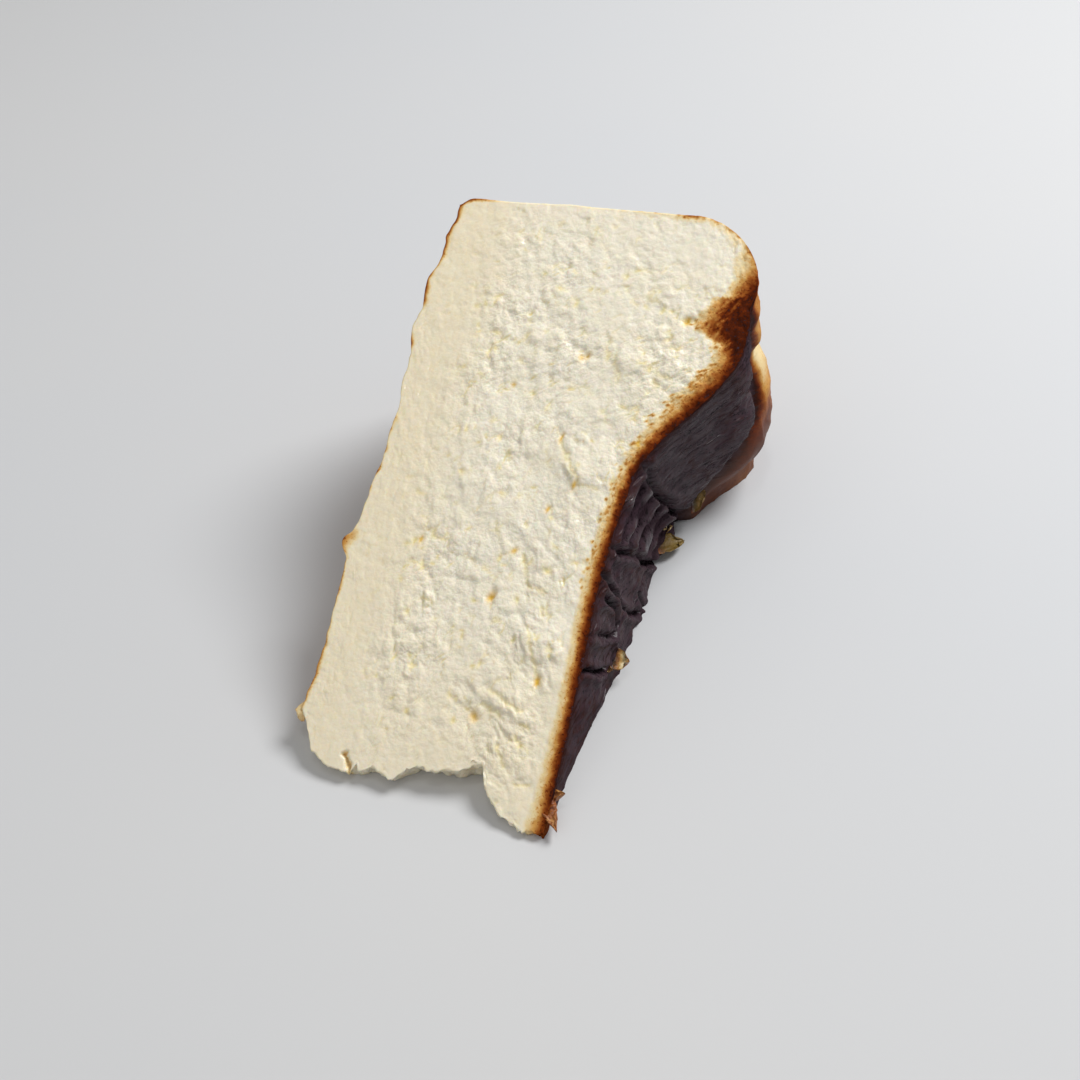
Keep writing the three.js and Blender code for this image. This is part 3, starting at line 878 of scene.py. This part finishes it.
def new_group(name, values, outputs):
    """A group of shader nodes that takes some values, each with its default."""
    group = bpy.data.node_groups.new(name, "ShaderNodeTree")
    for label, value in values.items():
        socket = group.interface.new_socket(label, in_out="INPUT", socket_type="NodeSocketFloat")
        socket.default_value = value
    for label, kind in outputs.items():
        group.interface.new_socket(label, in_out="OUTPUT", socket_type=kind)
    return group, group.nodes.new("NodeGroupInput").outputs, group.nodes.new("NodeGroupOutput").inputs


# How brown the batter looks as it bakes, a little uneven from place to place
BROWNING = [  # how far baked, and the colour it has then
    (0.0, linear(239, 232, 213)),
    (0.1, linear(231, 209, 158)),
    (0.26, linear(203, 152, 80)),
    (0.44, linear(154, 88, 36)),
    (0.62, linear(103, 42, 15)),
    (0.78, linear(52, 23, 15)),
    (0.9, linear(63, 48, 55)),
    # nearly black, mostly for the painted shade of cracks, drape valleys and the fold
    (1.0, linear(14, 9, 10)),
]
COARSE_SPECKLES = 900.0  # to the metre
FINE_SPECKLES = 2400.0
DOTS = {"From Min": 0.57, "From Max": 0.68}
FULLY_SPECKLED = 4.0  # pale crumb has few speckles

outputs = {"Color": "NodeSocketColor", "Bake": "NodeSocketFloat"}
browning, given, put_out = new_group("oven browning", {"Bake": 0.0, "Speckle": 0.1}, outputs)
coarse = noise_over(browning, COARSE_SPECKLES, 3.0)
fine = noise_over(browning, FINE_SPECKLES, 2.0)
dots = make(browning, "MapRange", {"Value": fine, **DOTS})
both = math_node(browning, "MULTIPLY_ADD", dots.outputs["Result"], 0.5, coarse)
uneven = math_node(browning, "SUBTRACT", both, 0.55)
part_baked = math_node(browning, "MULTIPLY", given["Bake"], FULLY_SPECKLED)
part_baked = math_node(browning, "SMOOTH_MIN", part_baked, 1.0, 0.3)
strength = math_node(browning, "MULTIPLY", given["Speckle"], part_baked)
baked = math_node(browning, "MULTIPLY_ADD", uneven, strength, given["Bake"])
shades = make(browning, "ValToRGB", {"Fac": baked})
while len(shades.color_ramp.elements) < len(BROWNING):
    shades.color_ramp.elements.new(1)
for stop, (position, colour) in zip(shades.color_ramp.elements, BROWNING):
    stop.position = position
    stop.color = colour
browning.links.new(shades.outputs["Color"], put_out["Color"])
browning.links.new(baked, put_out["Bake"])

# A value that wanders between two limits over the surface
NOISE_SPREAD = {"From Min": 0.3, "From Max": 0.7}

values = {"Size": 1.0, "Low": 0.0, "High": 1.0}
unevenness, given, put_out = new_group("fine unevenness", values, {"Value": "NodeSocketFloat"})
per_metre = math_node(unevenness, "DIVIDE", 1.0 / MM, given["Size"])
limits = {**NOISE_SPREAD, "To Min": given["Low"], "To Max": given["High"]}
spread = make(unevenness, "MapRange", {"Value": noise_over(unevenness, per_metre, 4.0), **limits})
unevenness.links.new(spread.outputs["Result"], put_out["Value"])


def new_material(name):
    material = bpy.data.materials.new(name)
    material.use_nodes = True
    material.node_tree.nodes.clear()
    return material, material.node_tree


def surface(tree, sockets):
    """The material's shader, with the sockets that are set or linked."""
    shader = make(tree, "BsdfPrincipled", sockets)
    make(tree, "OutputMaterial", {"Surface": shader.outputs["BSDF"]})


def attribute(tree, name, output="Fac"):
    return make(tree, "Attribute", attribute_name=name).outputs[output]


def browned(tree, speckle):
    sockets = {"Bake": attribute(tree, "bake"), "Speckle": speckle}
    return make(tree, "Group", sockets, node_tree=browning).outputs


def wandering(tree, size, low, high):
    sockets = {"Size": size, "Low": low, "High": high}
    return make(tree, "Group", sockets, node_tree=unevenness).outputs["Value"]


def mix(tree, share, first, second):
    """A share of the way from one colour to another. The node's sockets for colours are 6, 7 and 2."""
    return make(tree, "Mix", {0: share, 6: first, 7: second}, data_type="RGBA").outputs[2]


def fine_relief(tree, height, strength, depth):
    """A normal for relief too fine for the mesh, with its depth in millimetres."""
    sockets = {"Height": height, "Strength": strength, "Distance": depth * MM}
    return make(tree, "Bump", sockets).outputs["Normal"]


# Crumb: moist and a little see-through where it is pale, drier and duller where it browned
WARM_CREAM = linear(236, 225, 196)
HOLLOW_SHADE_YELLOW = linear(233, 215, 142)
PIT_AMBER = linear(226, 182, 60)
CURD_GRAIN = 0.6
SEE_THROUGH = 0.45

crumb, tree = new_material("crumb")
baked = browned(tree, 0.3)
tinted = mix(tree, wandering(tree, 7.0, 0.0, 0.35), baked["Color"], WARM_CREAM)
is_pale = math_node(tree, "LESS_THAN", baked["Bake"], 0.05)
cream = mix(tree, is_pale, baked["Color"], tinted)
# Painted shade: the hollows are tinted yellow
shaded = mix(tree, attribute(tree, "hollow_shade"), cream, HOLLOW_SHADE_YELLOW)
moist = wandering(tree, 0.9, 0.24, 0.7)
wet = math_node(tree, "MULTIPLY_ADD", baked["Bake"], -4.0, wandering(tree, 0.8, -1.0, 1.4))
curd = noise_over(tree, 1 / (CURD_GRAIN * MM), 4.0)
curdled = math_node(tree, "MULTIPLY", curd, attribute(tree, "torn"))
relief = fine_relief(tree, curdled, 0.42, 0.5)
unbaked = math_node(tree, "MULTIPLY_ADD", attribute(tree, "bake"), -4.0, 1.0)
gloss = math_node(tree, "MULTIPLY_ADD", attribute(tree, "bake"), -0.5, 0.25)
surface(tree, {
    "Base Color": mix(tree, attribute(tree, "amber"), shaded, PIT_AMBER),
    "Roughness": math_node(tree, "MULTIPLY_ADD", baked["Bake"], 0.6, moist),
    "Specular IOR Level": math_node(tree, "MAXIMUM", gloss, 0.0),
    "Subsurface Weight": math_node(tree, "MULTIPLY", math_node(tree, "MAXIMUM", unbaked, 0.0), SEE_THROUGH),
    "Subsurface Radius": (1.0, 0.7, 0.4),
    "Subsurface Scale": 0.7 * MM,
    "Coat Weight": math_node(tree, "MAXIMUM", wet, 0.0),
    "Coat Roughness": 0.16,
    "Normal": relief,
    "Coat Normal": relief,
})

# Burnt skin: matt black under a thin patchy shine, creased outwards in fine strands
DULL_BROWN = linear(98, 70, 60)
STRAND_STRETCH = (0.2, 0.9, 0.2)

burnt_skin, tree = new_material("burnt skin")
lay = {"Vector": attribute(tree, "lay", "Vector"), "Scale": STRAND_STRETCH}
stretched = make(tree, "Mapping", lay).outputs["Vector"]
crepe = {"Vector": stretched, "Scale": 1.0, "Detail": 5.0, "Roughness": 0.6, "Distortion": 0.45}
strands = make(tree, "TexNoise", crepe, noise_type="RIDGED_MULTIFRACTAL")
strand_rise = math_node(tree, "MULTIPLY", strands.outputs["Fac"], attribute(tree, "creped"))
relief = fine_relief(tree, strand_rise, 1.0, 0.8)
surface(tree, {
    "Base Color": mix(tree, attribute(tree, "dull"), browned(tree, 0.16)["Color"], DULL_BROWN),
    "Roughness": wandering(tree, 3.0, 0.4, 0.6),
    "Specular IOR Level": 0.0,
    "Coat Weight": attribute(tree, "glaze"),
    "Coat Roughness": 0.27,
    "Normal": relief,
    "Coat Normal": relief,
})

# Golden skin: thin, satin and slightly see-through, with the paper's fine grain
golden_skin, tree = new_material("golden skin")
surface(tree, {
    "Base Color": browned(tree, 0.14)["Color"],
    "Roughness": wandering(tree, 2.0, 0.42, 0.62),
    "Subsurface Weight": 0.15,
    "Subsurface Radius": (1.0, 0.6, 0.3),
    "Subsurface Scale": 1.0 * MM,
    "Normal": fine_relief(tree, wandering(tree, 0.9, 0.0, 1.0), 0.4, 0.25),
})

for finish in (crumb, burnt_skin, golden_skin):
    cheesecake.data.materials.append(finish)
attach(cheesecake, "root")
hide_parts("cheesecake_slice")


# Torn flakes
# Thin leaves of the baked skin that came loose when the slice was cut and pulled away. They are
# dried batter, curled and ragged, and each still hangs on by one end, sunk into the slice.

# For each: its root's r, angle and height; its heading and its side, both up the cake, outwards and
# round; length, half width, thickness and crumpling; bake at the root, at the end and along the
# edges; and how dull its colour is.
FLAKES = [
    ((71.4, 1.9, 45.8), (0.9, 0.6, -0.2), (-0.5, 1, 0), (6.6, 2.6, 0.3, 0.15), (0.7, 0.25, 0.4), 0.8),
    ((39.4, 6.5, 46.2), (0.9, 0.3, -0.3), (-0.5, 0.8, 0.6), (4, 2, 0.3, 0.4), (0.8, 0, 0.8), 0.3),
    ((37.6, 5.2, 46), (0.8, -0.2, 0.3), (0.2, 0.9, 0.3), (2.2, 0.8, 0.3, 0.3), (0.7, 0.05, 0.7), 0.3),
    # The next two are small real flakes whose ends are pale almost to cream: painted highlights, for moist
    # glints by the first flake
    ((76.2, 1.9, 47.4), (0.8, 0.2, 0.5), (-0.2, 1, 0.2), (1.6, 0.8, 0.3, 0.3), (0.3, 0.04, 0.2), 0.1),
    ((75, 3, 47), (0.7, -0.5, 0.4), (0.5, 0.8, 0.2), (1.4, 0.6, 0.3, 0.3), (0.3, 0.05, 0.2), 0.1),
    ((7.6, 18, 45), (0.62, -0.75, 0.1), (0.75, 0.62, 0), (5, 1.9, 1.5, 0.3), (0.56, 0.42, 0.5), 0.1),
    ((9.4, 18, 45), (0.9, 0.3, 0.1), (-0.3, 0.9, 0), (2.8, 1.5, 1.3, 0.3), (0.56, 0.38, 0.46), 0.1),
    ((12.6, 28.4, 1), (-1, 0.05, 0.1), (0.05, 1, 0), (2.2, 1.7, 0.4, 0.3), (0.2, 0.12, 0.24), 0.1),
    ((83.4, 4.6, 50.5), (0.9, 0.3, -0.2), (-0.3, 0.8, 0.5), (2.6, 3.6, 0.3, 0.3), (0.8, 0.3, 0.5), 0.7),
]
DULL_OLIVE = linear(112, 98, 44)
FLAKE_STEPS = np.array((26, 20, 1))
FLAKE_CURL = 0.5
FLAKE_THINNING = 0.7  # towards its edges
SHRED_THICKNESS = 1  # thicker ones are shreds of crust, and come to a point
LOWEST_FLAKE = 0.05  # above the lower cut

flake_place, flake_number = box_surface(FLAKE_STEPS)
flake_faces = np.concatenate([fully(wall) for wall in box_walls(flake_number)])
along, beside, layer = (flake_place / FLAKE_STEPS).T
beside = 2 * beside - 1
flake_points = []
flake_bakes = []
flake_dullness = []
for k, ((at_r, at_angle, at_height), heading, side, sizes, bakes, dull) in enumerate(FLAKES):
    length, half_width, thick, crumple = sizes
    root_bake, end_bake, edge_bake = bakes
    at_turn = math.radians(at_angle)
    outwards = Vector((0, math.cos(at_turn), math.sin(at_turn)))
    around = Vector((0, -math.sin(at_turn), math.cos(at_turn)))
    upwards = Vector((1, 0, 0))
    axes = np.array((upwards, outwards, around))
    heading = Vector(np.array(heading) @ axes).normalized()
    normal = heading.cross(Vector(np.array(side) @ axes)).normalized()
    side = normal.cross(heading)
    outline = np.stack((along * length, beside * half_width, 0 * along), -1)
    ragged = 0.22 * grain(outline, 1.1, 100 + k) + 0.12 * grain(outline, 0.45, 120 + k)
    taper = np.sqrt(1.04 - along**5) if thick < SHRED_THICKNESS else (1.02 - along) ** 0.6
    width = half_width * taper * (1 + 0.5 * ragged)
    reach = along * length * (1 - 0.25 * beside**2) * (1 + 0.4 * ragged)
    thin = thick * (1 - FLAKE_THINNING * np.maximum(along**4, beside**6))
    thin = thin * (1 + 0.6 * grain(outline, 0.8, 160 + k))
    curl = FLAKE_CURL * (along**2 + 0.6 * beside**2) + crumple * grain(outline, 1.6, 140 + k)
    lift = curl + (layer - 0.5) * thin
    root = Vector((at_height, 0, 0)) + outwards * at_r
    leaf = reach[:, None] * heading + (beside * width)[:, None] * side + lift[:, None] * normal
    leaf = leaf + root - Vector((ORIGIN_HEIGHT, ORIGIN_RADIUS, 0))
    leaf[:, 2] = np.maximum(leaf[:, 2], LOWEST_FLAKE)
    flake_points.append(leaf)
    rim = np.maximum(along, np.abs(beside)) ** 8
    inner_bake = lerp(root_bake, end_bake, ramp(along, 0.2, 0.8)) + 0.25 * ragged
    flake_bakes.append(lerp(inner_bake, edge_bake, rim))
    flake_dullness.append(dull * ramp(along, 0, 0.5))

count = len(flake_place)
flake_faces = np.concatenate([flake_faces + k * count for k in range(len(FLAKES))])
kept_values = {"bake": np.concatenate(flake_bakes), "dull": np.concatenate(flake_dullness)}
flakes = new_piece("flakes", np.concatenate(flake_points), flake_faces, kept_values)

dried_skin, tree = new_material("dried skin")
surface(tree, {
    "Base Color": mix(tree, attribute(tree, "dull"), browned(tree, 0.4)["Color"], DULL_OLIVE),
    "Roughness": wandering(tree, 1.5, 0.35, 0.6),
    "Normal": fine_relief(tree, wandering(tree, 0.7, 0.0, 1.0), 0.4, 0.2),
})
flakes.data.materials.append(dried_skin)
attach(flakes, "root")


# Floor, light and camera
# A plain pale floor, two large soft lamps and a small one that makes moist spots sparkle. The
# camera stands beyond the slice's tip and looks down on it.
FLOOR_SIZE = 4.0
FLOOR_STEPS = 40
FLOOR_GREYS = (linear(196, 198, 201), linear(200, 200, 200))
LAMPS = {  # place, size and power
    "key": ((0.34, 0.42, 0.7), 0.42, 7.3),
    "fill": ((-0.2, -0.6, 0.8), 0.9, 1.6),
    "sparkle": ((0.0, -0.12, 0.9), 0.1, 0.5),
}
ROOM_LIGHT = 0.3
CAMERA_PLACE = Vector((0.0600, -0.1783, 0.1919))
CAMERA_AIM = Vector((-0.0063, 0.0097, 0.0))
CAMERA_ROLL = math.radians(-1.66)
FOCAL_LENGTH = 46.667

bpy.ops.mesh.primitive_grid_add(x_subdivisions=FLOOR_STEPS, y_subdivisions=FLOOR_STEPS, size=FLOOR_SIZE)
floor = bpy.context.object
floor.name = "floor"
floor_paint, tree = new_material("floor paint")
shade = wandering(tree, 300.0, 0.0, 1.0)
surface(tree, {"Base Color": mix(tree, shade, *FLOOR_GREYS), "Roughness": 0.75})
floor.data.materials.append(floor_paint)

for name, (place, size, power) in LAMPS.items():
    light = bpy.data.lights.new(name, "AREA")
    light.shape = "DISK"
    light.size = size
    light.energy = power
    lamp = bpy.data.objects.new(name, light)
    lamp.location = place
    lamp.rotation_mode = "QUATERNION"
    lamp.rotation_quaternion = (-Vector(place)).to_track_quat("-Z", "Y")
    bpy.context.scene.collection.objects.link(lamp)

world = bpy.data.worlds.new("studio")
world.use_nodes = True
background = world.node_tree.nodes["Background"]
background.inputs["Color"].default_value = (1, 1, 1, 1)
background.inputs["Strength"].default_value = ROOM_LIGHT
bpy.context.scene.world = world
bpy.context.scene.view_settings.view_transform = "Standard"

camera = bpy.data.objects.new("camera", bpy.data.cameras.new("camera"))
camera.data.lens = FOCAL_LENGTH
camera.data.clip_start = 0.01
turned = (CAMERA_AIM - CAMERA_PLACE).to_track_quat("-Z", "Y").to_matrix().to_4x4()
camera.matrix_world = Matrix.Translation(CAMERA_PLACE) @ turned @ Matrix.Rotation(CAMERA_ROLL, 4, "Z")
bpy.context.scene.collection.objects.link(camera)
bpy.context.scene.camera = camera
